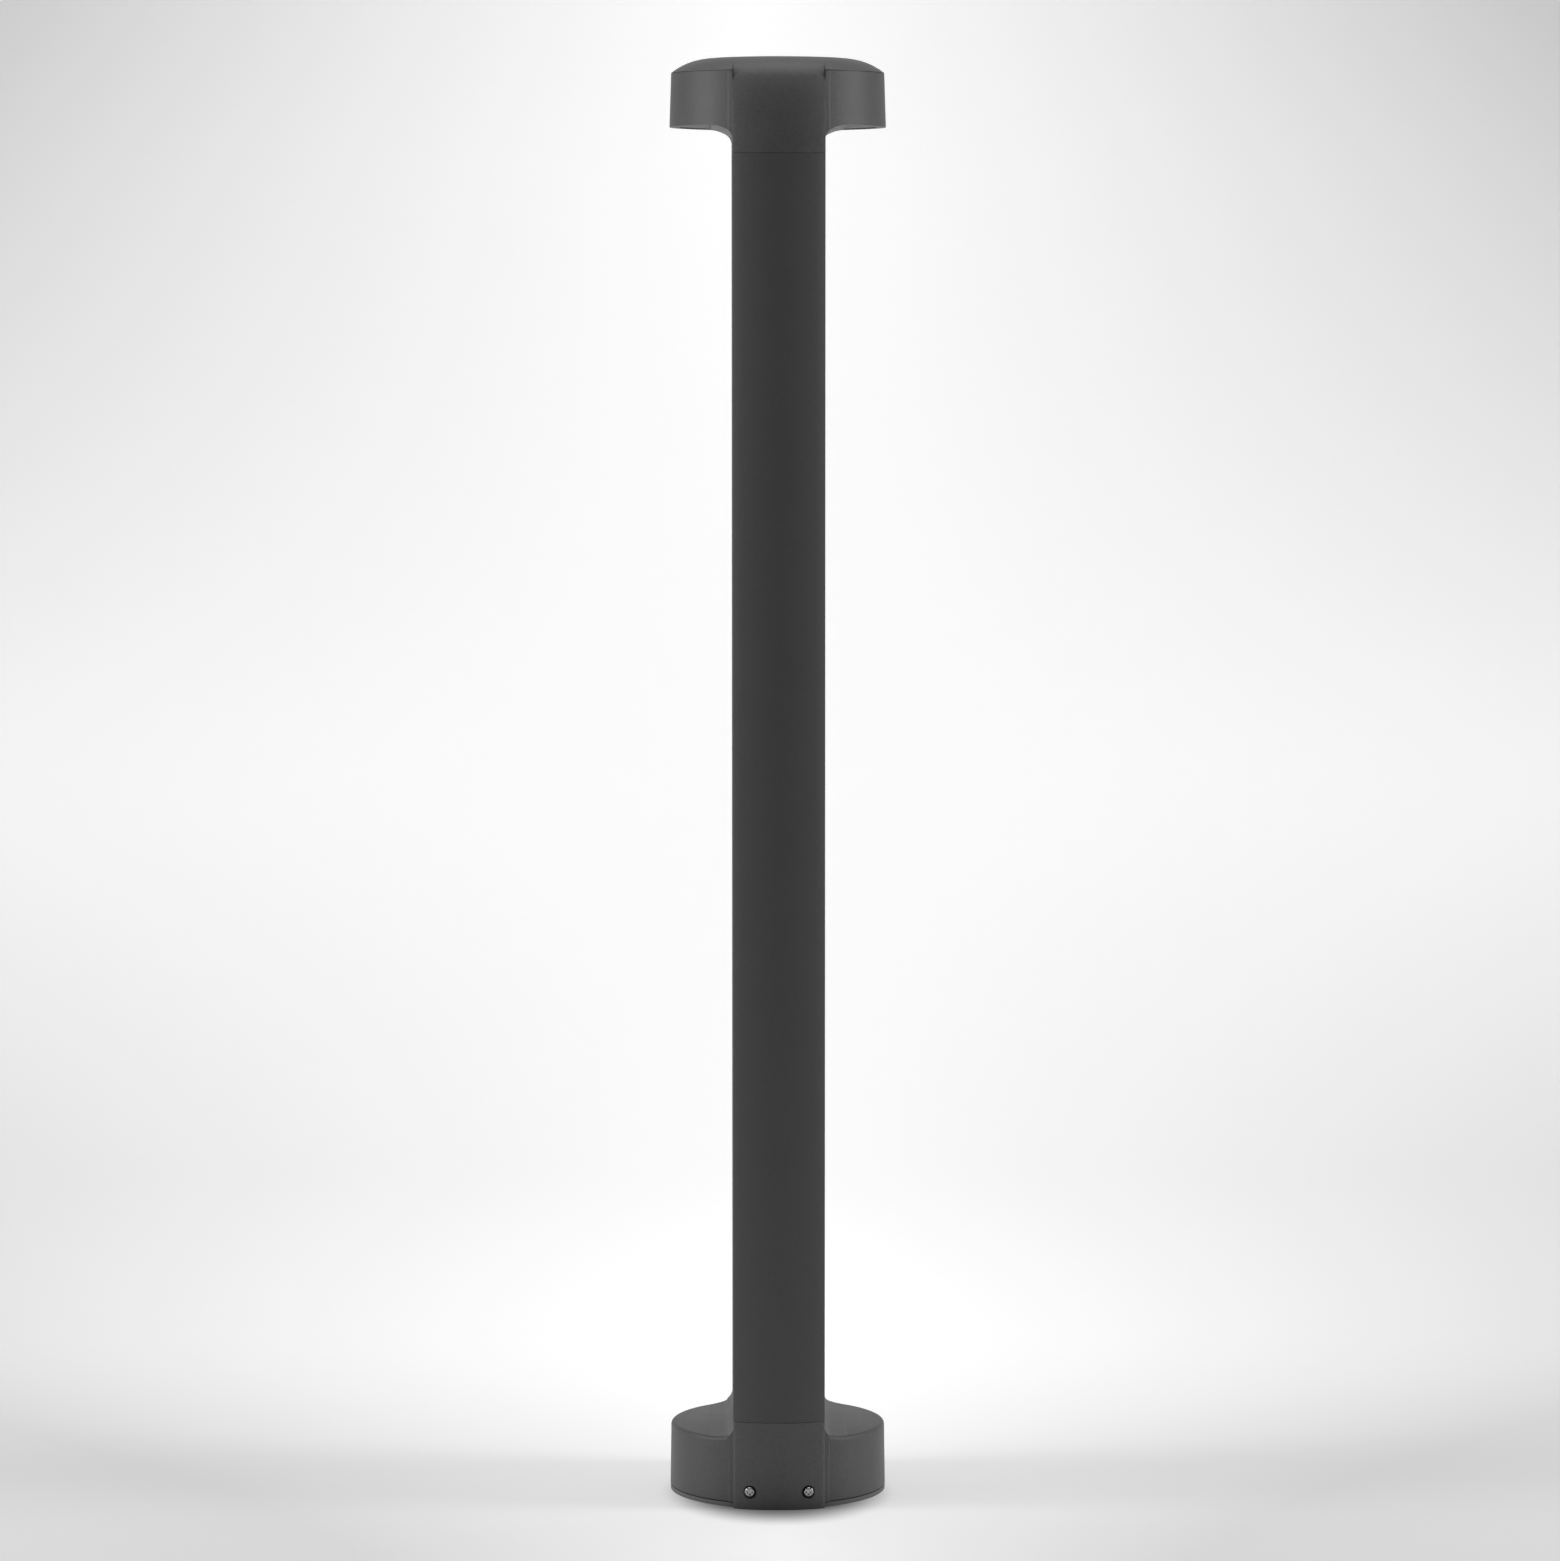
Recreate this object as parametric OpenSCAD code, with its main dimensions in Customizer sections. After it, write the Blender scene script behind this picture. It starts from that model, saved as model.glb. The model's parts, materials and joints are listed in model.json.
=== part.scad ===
// Path light: a flat-sided post with bowed front and back faces, between two
// castings that each carry a half-moon wing on either side. Light leaves the
// undersides of the head's wings. Front is -Y, up is +Z, z = 0 is the ground.

/* [Overall] */
// Height from the ground to the crown of the head
total_h = 1000; // [500:1:1500]
// Width of the post between its flat sides
post_w = 63.2; // [60:0.1:68]
// Depth of the post over its two bowed faces
post_d = 159; // [157:0.5:166]

/* [Head] */
// How far the head's wings stand behind the bowed faces at their underside
head_foot_back = 4.7; // [3.5:0.1:5.7]
// How far they stand behind the bowed faces at the rim under the dome
head_rim_back = 5.9; // [5.1:0.1:6.5]
// Height of the wings from their underside to that rim
head_wing_h = 37.2; // [34:0.1:60]
// Length of plain post section below the wings, cast with the head
head_stub_h = 19.2; // [16:0.1:60]
// Radius of the shallow crown
crown_r = 1500; // [900:50:3000]
// Radius of the dome's shoulder
shoulder_r = 43.9; // [38:0.1:48]
// How far behind the bowed faces the crown turns into the shoulder
shoulder_back = 32; // [29.5:0.1:35.5]
// Height below the crown at which the band starts to lean back
bend_drop = 43; // [40:0.5:50]
// Radius of the band's lean
bend_r = 76; // [72:1:90]
// Radius of the roll from the band into the dome
roll_r = 20; // [10:1:24]
// Height of the shadow line under the dome's edge
lip_line = 0.8; // [0.4:0.1:1.5]

/* [Base] */
// How far the base's wings stand behind the bowed faces at their foot
base_foot_back = 3.9; // [2.5:0.1:4.5]
// How far they stand behind the bowed faces at their top
base_rim_back = 4.6; // [4.1:0.1:5.5]
// Height of the base's wings above the ground
base_wing_h = 47.6; // [44:0.1:70]
// Length of plain post section above the wings, cast with the base
base_stub_h = 13.1; // [11:0.1:40]
// Thickness of the ground plate
plate_t = 3; // [2:0.5:6]
// Gap between the ground plate and the base's wings
plate_gap = 0.8; // [0.5:0.1:2]
// Radius of the cable hole in the ground plate
cable_hole_r = 24; // [20:0.5:27]
// Diameter of the circle of ground anchors
anchor_pcd = 110; // [104:1:116]
// Diameter of the anchor holes
anchor_d = 9; // [6:0.5:11]
// Distance of the earth screw behind the cable hole
earth_back = 16; // [14:0.5:18]

/* [Wing blend] */
// Width over which a wing curves towards the post's side
ramp_w = 16; // [14:0.5:17]
// Radius of that curve under the head's wings
head_ramp_r = 24; // [22:1:40]
// Radius of that curve on the base's wings
base_ramp_r = 45; // [36:1:60]
// Radius of the fillet between the curve and the post's side
ramp_fillet = 8; // [6:0.5:9]
// Width of the rib on each wing beside the band
rib_w = 3.4; // [2.5:0.1:4.5]
// How far that rib stands out from the wing's face
rib_proud = 1.3; // [0.6:0.1:2]

/* [Walls and joints] */
// Wall of the extruded post
post_wall = 2.2; // [1.6:0.1:3]
// Wall of the two castings
cast_wall = 3; // [2.5:0.1:3.6]
// Thickness of the web that closes the top of the base casting
web_t = 6; // [4:0.5:8]
// Thickness of the gaskets at the ends of the post
gasket_t = 0.3; // [0.2:0.1:1]
// Diameter of the tie rods
rod_d = 5; // [4:0.5:6]
// Distance of the tie rods from the post's flat sides
rod_side = 9.1; // [8.1:0.1:9.6]
// Distance of the tie rods behind the bowed faces
rod_back = 19.5; // [15.5:0.5:25.5]
// Gap round a rod, screw or piece that sits in a hole
fit_gap = 0.15; // [0.1:0.05:0.25]

/* [Ground screws] */
// Distance of the visible screws from the middle
ground_screw_x = 20.3; // [16:0.1:22]
// Height of the visible screws above the ground
ground_screw_z = 12.2; // [11:0.1:16]
// Diameter of the visible screws
ground_screw_d = 4; // [3:0.5:5]
// Diameter of the pocket round each screw head
ground_pocket_d = 9.4; // [9:0.1:11]

/* [Light] */
// Distance of the lens's edge inside the wings' underside
lens_back = 6.8; // [5.8:0.1:8.8]
// Thickness of the lens
lens_t = 3; // [2:0.5:4]
// Depth of the light chamber above the wings' underside
chamber_h = 25.8; // [24:0.2:27]
// Thickness of the lamp board
board_t = 1.6; // [1:0.1:2.4]
// Number of light chips on each board
chips = 7; // [3:1:9]

/* [Inside the post] */
// Distance of the tray behind the post's middle
tray_y = 22; // [16:0.5:28]
// Thickness of the tray
tray_t = 1.5; // [1:0.1:2.5]
// Height of the tray
tray_h = 262; // [250:1:330]
// Width of the power unit
driver_w = 42; // [30:1:46]
// Length of the power unit
driver_l = 140; // [100:1:150]
// Depth of the power unit
driver_d = 24; // [18:1:26]
// Radius of the hole through the cable gland's seal
gland_bore_r = 5.5; // [4:0.1:6]

/* [Hidden] */
$fn = 96;
e = 0.01;
half_w = post_w / 2;
bow_r = post_d / 2;
head_foot_r = bow_r - head_foot_back;
head_rim_r = bow_r - head_rim_back;
shoulder_start = bow_r - shoulder_back;
base_foot_r = bow_r - base_foot_back;
base_rim_r = bow_r - base_rim_back;
lens_r = head_foot_r - lens_back;
rod_x = half_w - rod_side;
rod_y = bow_r - rod_back;

// The dome: a shallow crown that turns into a tighter shoulder
function turn_angle() = asin(shoulder_start / crown_r);
function shoulder_c() = [
    (crown_r - shoulder_r) * sin(turn_angle()),
    total_h - crown_r + (crown_r - shoulder_r) * cos(turn_angle())
];
function dome_z(r) =
    shoulder_c()[1] + sqrt(pow(shoulder_r, 2) - pow(r - shoulder_c()[0], 2));
rim_z = dome_z(head_rim_r);
under_z = rim_z - head_wing_h;
post_top_z = under_z - head_stub_h;
post_foot_z = base_wing_h + base_stub_h;
wing_foot_z = plate_t + plate_gap;
web_z = post_foot_z - web_t;
function head_side_r(z) =
    head_foot_r + (head_rim_r - head_foot_r) * (z - under_z) / head_wing_h;
function base_side_r(z) =
    base_foot_r + (base_rim_r - base_foot_r) * z / base_wing_h;

// Where the fillet beside the post leaves its side, and where it meets the curve
function blend_h(r) = r - sqrt(pow(r - ramp_fillet, 2) - pow(ramp_w - ramp_fillet, 2));
function blend_c(r) = [half_w + ramp_w, r];
function fillet_c(r) = [half_w + ramp_fillet, blend_h(r)];
function blend_meet(r) = blend_c(r) + (fillet_c(r) - blend_c(r)) * r / (r - ramp_fillet);

// The band's lean and its roll into the dome
bend_z = total_h - bend_drop;
bend_c = [bow_r - bend_r, bend_z];
function meet(a, ra, b, rb) =
    let (d = norm(b - a), u = (b - a) / d)
    let (k = (pow(ra, 2) - pow(rb, 2) + pow(d, 2)) / (2 * d))
    let (h = sqrt(pow(ra, 2) - pow(k, 2)))
    a + k * u + h * [-u[1], u[0]] * (u[0] >= 0 ? 1 : -1);
roll_c = meet(bend_c, bend_r - roll_r, shoulder_c(), shoulder_r - roll_r);
roll_proud = 0.02;
roll_a = bend_c + (roll_c - bend_c) * 1.6 * bend_r / (bend_r - roll_r);
roll_b = shoulder_c() + (roll_c - shoulder_c()) * 1.6 * shoulder_r / (shoulder_r - roll_r);

// Light chamber
ramp_end = half_w + ramp_w;
lens_gap = 0.3;
lens_x = ramp_end - 1;
lens_z = under_z + 0.5;
lens_gasket_t = 0.8;
ledge_w = 2.6;
ledge_z = lens_z + lens_t + lens_gasket_t;
chamber_r = lens_r - ledge_w;
chamber_x = lens_x + ledge_w;
ceiling_z = under_z + chamber_h;
ceiling_t = 4;
board_z = ceiling_z - board_t;
board_screw_y = 32;
board_screw_x = chamber_x + 3.6;
board_r = chamber_r - 0.8;
lens_screw_x = lens_x + 3.4;
lens_screw_y = sqrt(pow(lens_r, 2) - pow(lens_screw_x, 2)) - 5;
lens_screw_d = 3;
lens_screw_l = 10;
boss_r = 4;
lead_d = 4;
lead_y = 9;
lead_x = 8;
lead_drop_x = chamber_x + 11;
lead_bend = 5;
lead_top_z = ceiling_z + ceiling_t + 1.3 + lead_bend;
grommet_r = 3.6;

// Inside the post
tray_z = post_foot_z + 0.3;
tray_w = post_w - 2 * post_wall - 0.6;
rail_deep = 4;
rail_t = 1.6;
ear_l = 12;
tray_hole_d = 12;
tray_hole_in = 14;
driver_z = tray_z + tray_h - driver_l - tray_hole_in - tray_hole_d - ear_l - 6;
block_z = driver_z - ear_l - 32;
block_w = 34;
link_pitch = 11;
link_d = 3;
block_h = 22;
block_d = 18;
gland_y = -14;
gland_thread_r = 9.9;

module both_sides() {
    children();
    mirror([1, 0, 0]) children();
}

// The four tie rods' places, each with +X pointing out to the nearer flat side
module four_corners() {
    for (mx = [0, 1], my = [0, 1]) mirror([mx, 0, 0]) mirror([0, my, 0])
        translate([rod_x, rod_y, 0]) children();
}

// Plan of the port round one tie rod, tied to the flat side by a web
module rod_port(wall) {
    circle(rod_d / 2 + wall);
    translate([0, -1.5]) square([half_w - post_wall / 2 - rod_x, 3]);
}

// Plan of the post: bowed faces between flat sides, drawn in by inset
module post_plan(inset = 0) {
    intersection() {
        circle(r = bow_r - inset, $fn = 256);
        square([post_w - 2 * inset, post_d + 2], center = true);
    }
}

// Half-moon on the right: a circle's segment beyond a chord
module half_moon(r, chord_x) {
    intersection() {
        circle(r = r, $fn = 192);
        translate([chord_x, -r]) square([r, 2 * r]);
    }
}

module half_moon_block(r, chord_x, z, h) {
    translate([0, 0, z]) linear_extrude(h) half_moon(r, chord_x);
}

// A shape drawn in x and z, carried from front to back
module front_to_back(depth) {
    rotate([90, 0, 0]) linear_extrude(depth, center = true) children();
}

// Side section of the curve and fillet beside the post, rising from height 0
module blend_section(below, r) {
    c = blend_c(r);
    m = blend_meet(r);
    difference() {
        polygon([
            [-c[0], -below], c - [0, r + below], c - [0, r], m, [half_w, blend_h(r)],
            [-half_w, blend_h(r)], [-m[0], m[1]], [-c[0], 0]
        ]);
        for (side = [0, 1]) mirror([side, 0]) {
            intersection() {
                translate(c) circle(r, $fn = 192);
                polygon([c, c + (m - c) * 1.2, [c[0] + 5, -1], [c[0] + 5, r]]);
            }
            translate(fillet_c(r)) circle(ramp_fillet + roll_proud);
        }
    }
}

// Half section of the head's dome and wing side, drawn in by inset
module cap_section(inset, foot_z) {
    c = shoulder_c();
    turn = (crown_r - inset) * sin(turn_angle());
    union() {
        polygon([
            [0, foot_z], [head_side_r(foot_z) - inset, foot_z],
            [head_side_r(c[1]) - inset, c[1]], [0, c[1]]
        ]);
        intersection() {
            translate(c) circle(shoulder_r - inset, $fn = 192);
            polygon([
                [turn, c[1] - e], [head_side_r(c[1]) - inset, c[1] - e],
                [head_side_r(total_h) - inset, total_h], [turn, total_h]
            ]);
        }
        intersection() {
            translate([0, total_h - crown_r]) circle(crown_r - inset, $fn = 256);
            translate([0, c[1] - e]) square([turn, total_h]);
        }
    }
}

// Half section of the band: upright, then leaning back, then rolling into the dome
module band_section() {
    c = shoulder_c();
    turn = crown_r * sin(turn_angle());
    wedge = [roll_c, roll_a, roll_a + roll_b - roll_c, roll_b];
    translate([0, post_top_z]) square([bow_r, bend_z - post_top_z]);
    difference() {
        intersection() {
            translate([0, bend_z - e]) square([bow_r + 1, total_h]);
            translate(bend_c) circle(bend_r, $fn = 256);
            union() {
                translate(c) circle(shoulder_r, $fn = 192);
                translate([0, bend_z - 1]) square([turn, total_h + e - bend_z]);
            }
            union() {
                translate([0, total_h - crown_r]) circle(crown_r, $fn = 256);
                translate([turn, bend_z - 1]) square([bow_r, total_h]);
            }
        }
        polygon(wedge);
    }
    translate(roll_c) circle(roll_r + roll_proud, $fn = 192);
}

// The ribs beside the band, as the slices of a round body that stands out from the wings
module rib_slices(r0, r1, z0, z1) {
    intersection() {
        translate([0, 0, z0]) cylinder(r1 = r0 + rib_proud, r2 = r1 + rib_proud, h = z1 - z0);
        translate([-half_w - rib_w, -bow_r, z0]) cube([2 * (half_w + rib_w), post_d, z1 - z0]);
    }
}

// A pan head screw that points to +Z, with its head below z = 0 and a cross recess
module pan_screw(d, length, head_d, head_h) {
    difference() {
        union() {
            translate([0, 0, -head_h]) cylinder(d1 = head_d * 0.8, d2 = head_d, h = head_h * 0.4);
            translate([0, 0, -head_h * 0.6]) cylinder(d = head_d, h = head_h * 0.6);
            cylinder(d = d, h = length);
        }
        for (a = [0, 90]) rotate(a)
            translate([-head_d * 0.29, -head_d * 0.06, -head_h - 1])
                cube([head_d * 0.58, head_d * 0.12, head_h * 0.55 + 1]);
    }
}

// A screw hole with the same axis and start as pan_screw
module screw_hole(d, depth) {
    translate([0, 0, -e]) cylinder(d = d + 2 * fit_gap, h = depth);
}

// Places on the ground plate's two bars, each pointing inwards along Y
module at_ground_screws() {
    for (a = [0, 180], s = [-1, 1]) rotate(a) translate([s * ground_screw_x, 0, ground_screw_z])
        rotate([-90, 0, 0]) children();
}
pocket_floor = sqrt(pow(bow_r, 2) - pow(ground_screw_x + ground_pocket_d / 2, 2)) - 0.3;
bar_t = 8;
bar_h = 20;
bar_w = 2 * ground_screw_x + 9;
pad_y = sqrt(pow(base_foot_r - cast_wall - 0.5, 2) - pow(bar_w / 2, 2));
pad_d = 13;
gusset_l = 12;
gusset_t = 4;
earth_y = cable_hole_r + earth_back;
earth_d = 5;
boss_h = 6;

// Round ground plate with the cable hole and four anchor holes
module base_plate() {
    color("dimgray") difference() {
        cylinder(r = base_foot_r - 0.2, h = plate_t);
        translate([0, 0, -1]) cylinder(r = cable_hole_r, h = plate_t + 2);
        for (a = [45:90:315]) rotate(a) translate([anchor_pcd / 2, 0, -1])
            cylinder(d = anchor_d, h = plate_t + 2);
    }
}

// The front and back brackets on the plate: a drilled bar with three gussets behind it
module screw_brackets() {
    color("dimgray") difference() {
        for (a = [0, 180]) rotate(a) {
            translate([-bar_w / 2, -pad_y + fit_gap * 2, plate_t]) cube([bar_w, bar_t, bar_h - plate_t]);
            for (x = [-1:1]) translate([x * 10 - gusset_t / 2, -pad_y + bar_t, plate_t])
                rotate([90, 0, 90]) linear_extrude(gusset_t)
                    polygon([[-1, 0], [gusset_l, 0], [-1, bar_h - plate_t - 4]]);
        }
        at_ground_screws() translate([0, 0, -bow_r])
            screw_hole(ground_screw_d, bow_r - pad_y + bar_t + 2);
    }
}

// Drilled boss on the plate for the earth screw
module earth_boss() {
    color("dimgray") translate([0, earth_y, plate_t]) difference() {
        cylinder(d = 12, h = boss_h);
        translate([0, 0, 1]) cylinder(d = earth_d + 2 * fit_gap, h = boss_h);
    }
}

// Foam ring between the plate and the foot of the wings
module base_gasket() {
    color("black") translate([0, 0, plate_t]) difference() {
        cylinder(r = base_foot_r - 1.1, h = plate_gap);
        translate([0, 0, -1]) cylinder(r = base_foot_r - cast_wall + 0.2, h = plate_gap + 2);
    }
}

// Outside of the base casting: post stub with a ribbed wing on each side
module base_outside() {
    linear_extrude(post_foot_z) post_plan();
    intersection() {
        front_to_back(post_d) union() {
            translate([-base_foot_r - 1, wing_foot_z])
                square([2 * base_foot_r + 2, base_wing_h - wing_foot_z]);
            translate([0, base_wing_h]) blend_section(2, base_ramp_r);
        }
        union() {
            cylinder(r1 = base_foot_r, r2 = base_side_r(post_foot_z), h = post_foot_z);
            rib_slices(base_foot_r, base_side_r(post_foot_z), 0, post_foot_z);
        }
    }
}

// Hollow of the base casting, open below; its skirt hangs over the plate's edge
module base_hollow() {
    translate([0, 0, -e]) linear_extrude(web_z + e) post_plan(cast_wall);
    translate([0, 0, -e]) cylinder(
        r1 = base_foot_r - cast_wall, r2 = base_rim_r - cast_wall, h = base_wing_h - cast_wall
    );
    translate([0, 0, -e]) cylinder(r = base_foot_r, h = wing_foot_z + e);
}

// Base casting, closed by a web above, with pads behind its screw pockets
module base_housing() {
    color([0.25, 0.25, 0.26]) difference() {
        union() {
            difference() {
                base_outside();
                base_hollow();
            }
            intersection() {
                at_ground_screws() translate([0, 0, -bow_r]) cylinder(d = pad_d, h = bow_r - pad_y);
                linear_extrude(web_z) post_plan(1);
            }
        }
        four_corners() translate([0, 0, web_z - 1]) cylinder(d = rod_d + 2 * fit_gap, h = web_t + 2);
        translate([0, gland_y, web_z - 1]) cylinder(r = gland_thread_r + 2 * fit_gap, h = web_t + 2);
        at_ground_screws() {
            translate([0, 0, -bow_r - 1])
                cylinder(d = ground_pocket_d, h = bow_r + 1 - pocket_floor);
            translate([0, 0, -bow_r]) cylinder(d = ground_screw_d + 4 * fit_gap, h = 20);
        }
    }
}

// The four screws through the base casting into the plate's bars
module ground_screws() {
    color("silver") at_ground_screws() translate([0, 0, -pocket_floor])
        pan_screw(ground_screw_d, pocket_floor - pad_y + bar_t, 7.2, 2.3);
}

// Earth screw, upside down in the plate's boss, over its washer
module earth_screw() {
    color("gold") translate([0, earth_y, plate_t + boss_h + 1]) rotate([180, 0, 0])
        pan_screw(earth_d, boss_h - 0.6, 9.5, 3.2);
}

module earth_washer() {
    color("silver") translate([0, earth_y, plate_t + boss_h]) difference() {
        cylinder(d = 2 * earth_d, h = 1);
        translate([0, 0, -1]) cylinder(d = earth_d + 2 * fit_gap, h = 3);
    }
}

// Cable gland in the web: hexagon below, thread up through the web
module cable_gland() {
    color("dimgray") translate([0, gland_y, 0]) difference() {
        union() {
            translate([0, 0, web_z - 5]) cylinder(r = 13.5, h = 5, $fn = 6);
            translate([0, 0, web_z - 14]) cylinder(r = 9.4, h = 10);
            translate([0, 0, web_z - e]) cylinder(r = gland_thread_r, h = web_t + 9);
        }
        translate([0, 0, web_z - 15]) cylinder(r = 7.6, h = web_t + 40);
    }
}

module gland_seal() {
    color("black") translate([0, gland_y, web_z - 17]) difference() {
        cylinder(r = 7.45, h = 15);
        translate([0, 0, -1]) cylinder(r = gland_bore_r, h = 17);
    }
}

// Domed cap that squeezes the seal
module gland_cap() {
    color("dimgray") translate([0, gland_y, web_z - 21]) difference() {
        union() {
            translate([0, 0, 5]) cylinder(r = 13, h = 10.7, $fn = 6);
            cylinder(r1 = 8, r2 = 11, h = 5.2);
        }
        translate([0, 0, -1]) cylinder(r = gland_bore_r + 0.6, h = 20);
        translate([0, 0, 3.85]) cylinder(r = 9.55, h = 20);
    }
}

module gland_locknut() {
    color("dimgray") translate([0, gland_y, post_foot_z]) difference() {
        cylinder(r = 13.5, h = 4.5, $fn = 6);
        translate([0, 0, -1]) cylinder(r = gland_thread_r + fit_gap, h = 7);
    }
}

// A flat ring that follows the post's wall, drilled for the tie rods
module post_gasket(z) {
    color("black") translate([0, 0, z]) linear_extrude(gasket_t) difference() {
        post_plan(0.6);
        difference() {
            post_plan(post_wall + 0.4);
            four_corners() rod_port(2.4);
        }
        four_corners() circle(rod_d / 2 + fit_gap);
    }
}
module lower_gasket() { post_gasket(post_foot_z); }
module upper_gasket() { post_gasket(post_top_z - gasket_t); }

// Extruded post: bowed shell, four rod ports and two pairs of tray rails
module post_extrusion() {
    color([0.24, 0.24, 0.25]) translate([0, 0, post_foot_z + gasket_t])
        linear_extrude(post_top_z - post_foot_z - 2 * gasket_t) difference() {
            union() {
                difference() {
                    post_plan();
                    post_plan(post_wall);
                }
                four_corners() rod_port(2.4);
                for (s = [-1, 1], y = [tray_y - rail_t - 0.15, tray_y + tray_t + 0.15])
                    translate([s * (half_w - post_wall / 2 - rail_deep / 2 - 0.5), y + rail_t / 2])
                        square([rail_deep + 1, rail_t], center = true);
            }
            four_corners() circle(rod_d / 2 + fit_gap);
        }
}

// Four rods that pull the head, the post and the base together
module tie_rods() {
    color("silver") four_corners() translate([0, 0, web_z - 7])
        cylinder(d = rod_d, h = post_top_z - web_z + 7 + 18);
}

module tie_rod_washers() {
    color("silver") four_corners() translate([0, 0, web_z - 1]) difference() {
        cylinder(r = rod_d / 2 + 1.9, h = 1);
        translate([0, 0, -1]) cylinder(d = rod_d + 2 * fit_gap, h = 3);
    }
}

module tie_rod_nuts() {
    color("silver") four_corners() translate([0, 0, web_z - 5]) difference() {
        cylinder(r = rod_d * 0.86, h = 4, $fn = 6);
        translate([0, 0, -1]) cylinder(d = rod_d + 2 * fit_gap, h = 6);
    }
}

// Places on the tray, each pointing backwards along Y from the tray's front face
module at_driver_screws() {
    for (z = [driver_z - ear_l / 2, driver_z + driver_l + ear_l / 2])
        translate([0, tray_y, z]) rotate([-90, 0, 0]) children();
}
module at_block_screws() {
    for (s = [-1, 1]) translate([s * (block_w / 2 + 4), tray_y, block_z + block_h / 2])
        rotate([-90, 0, 0]) children();
}

// Sheet that slides down the rails and carries the power unit and the terminal block
module driver_tray() {
    color("lightgray") difference() {
        translate([-tray_w / 2, tray_y, tray_z]) cube([tray_w, tray_t, tray_h]);
        at_driver_screws() screw_hole(3, 10);
        at_block_screws() screw_hole(3, 10);
        for (z = [tray_z + tray_hole_in, tray_z + tray_h - tray_hole_in])
            translate([0, tray_y - 1, z]) rotate([-90, 0, 0]) cylinder(d = tray_hole_d, h = tray_t + 2);
    }
}

// Power unit: a case with a mounting ear at each end
module led_driver() {
    ear_w = 18;
    panel_in = 12;
    color("whitesmoke") difference() {
        union() {
            translate([-driver_w / 2, tray_y - driver_d, driver_z])
                cube([driver_w, driver_d, driver_l]);
            translate([-ear_w / 2, tray_y - 3, driver_z - ear_l])
                cube([ear_w, 3, driver_l + 2 * ear_l]);
        }
        translate([-driver_w / 2 + 2, tray_y - driver_d - 1, driver_z + panel_in])
            cube([driver_w - 4, 1.6, driver_l - 2 * panel_in]);
        at_driver_screws() translate([0, 0, -3]) screw_hole(3, 10);
        for (s = [-1, 1]) translate([s * lead_x, lead_y, driver_z + driver_l - 5])
            cylinder(d = lead_d + 2 * fit_gap, h = 6);
        for (i = [-1:1]) translate([i * link_pitch, tray_y - 7, driver_z - 1])
            cylinder(d = link_d + 2 * fit_gap, h = 6);
    }
}

// Three short wires from the terminal block up into the power unit
module driver_links() {
    foot_z = block_z + block_h - 5;
    color("sienna") for (i = [-1:1]) translate([i * link_pitch, tray_y - 7, foot_z])
        cylinder(d = link_d, h = driver_z + 4 - foot_z);
}

module driver_screws() {
    color("silver") at_driver_screws() translate([0, 0, -3]) pan_screw(3, 8, 5.5, 2);
}

// Three-pole block with an ear on each side, wire holes below and screw wells in front
module terminal_block() {
    color("ivory") difference() {
        union() {
            translate([-block_w / 2, tray_y - block_d, block_z]) cube([block_w, block_d, block_h]);
            translate([-block_w / 2 - 8, tray_y - 4, block_z + 4]) cube([block_w + 16, 4, block_h - 8]);
        }
        for (i = [-1:1], z = [block_z - 1, block_z + block_h - 7])
            translate([i * link_pitch, tray_y - 7, z]) cylinder(d = 5.5, h = 8);
        for (i = [-1:1], z = [6, block_h - 6])
            translate([i * link_pitch, tray_y - block_d - 1, block_z + z]) rotate([-90, 0, 0])
                cylinder(d = 5, h = 6);
        for (i = [-0.5, 0.5]) translate([i * link_pitch - 0.5, tray_y - block_d - 1, block_z - 1])
            cube([1, 3, block_h + 2]);
        at_block_screws() translate([0, 0, -4]) screw_hole(3, 10);
    }
}

module terminal_screws() {
    color("gold") for (i = [-1:1], z = [6, block_h - 6])
        translate([i * link_pitch, tray_y - block_d + 5, block_z + z]) rotate([-90, 0, 0]) difference() {
            translate([0, 0, -3]) cylinder(d = 4.6, h = 3);
            translate([-3, -0.4, -4]) cube([6, 0.8, 1.8]);
        }
}

module block_screws() {
    color("silver") at_block_screws() translate([0, 0, -4]) pan_screw(3, 8, 5.5, 2);
}

// Places of the board screws, pointing up from the board's underside
module at_board_screws(side) {
    for (s = [-1, 1]) translate([side * board_screw_x, s * board_screw_y, board_z]) children();
}

// Places of the lens screws, pointing up from the lens's underside
module at_lens_screws() {
    for (sx = [-1, 1], sy = [-1, 1])
        translate([sx * lens_screw_x, sy * lens_screw_y, lens_z]) children();
}

// The head's wings, outside the band: dome above, blend below, ribs and shadow line
module head_wings() {
    foot_z = under_z - blend_h(head_ramp_r) - 2;
    difference() {
        intersection() {
            union() {
                rotate_extrude() cap_section(0, foot_z);
                rib_slices(head_side_r(foot_z), head_side_r(rim_z), foot_z, rim_z - lip_line / 2);
            }
            front_to_back(post_d) difference() {
                union() {
                    translate([-head_foot_r - 1, under_z])
                        square([2 * head_foot_r + 2, total_h - under_z + 1]);
                    translate([0, under_z]) mirror([0, 1]) blend_section(2, head_ramp_r);
                }
                translate([-half_w, post_top_z]) square([post_w, total_h]);
            }
        }
        translate([0, 0, rim_z - lip_line]) difference() {
            cylinder(r = bow_r + 2, h = lip_line * 0.7);
            translate([0, 0, -1]) cylinder(r = head_rim_r - 0.6, h = lip_line + 2);
        }
    }
}

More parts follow.
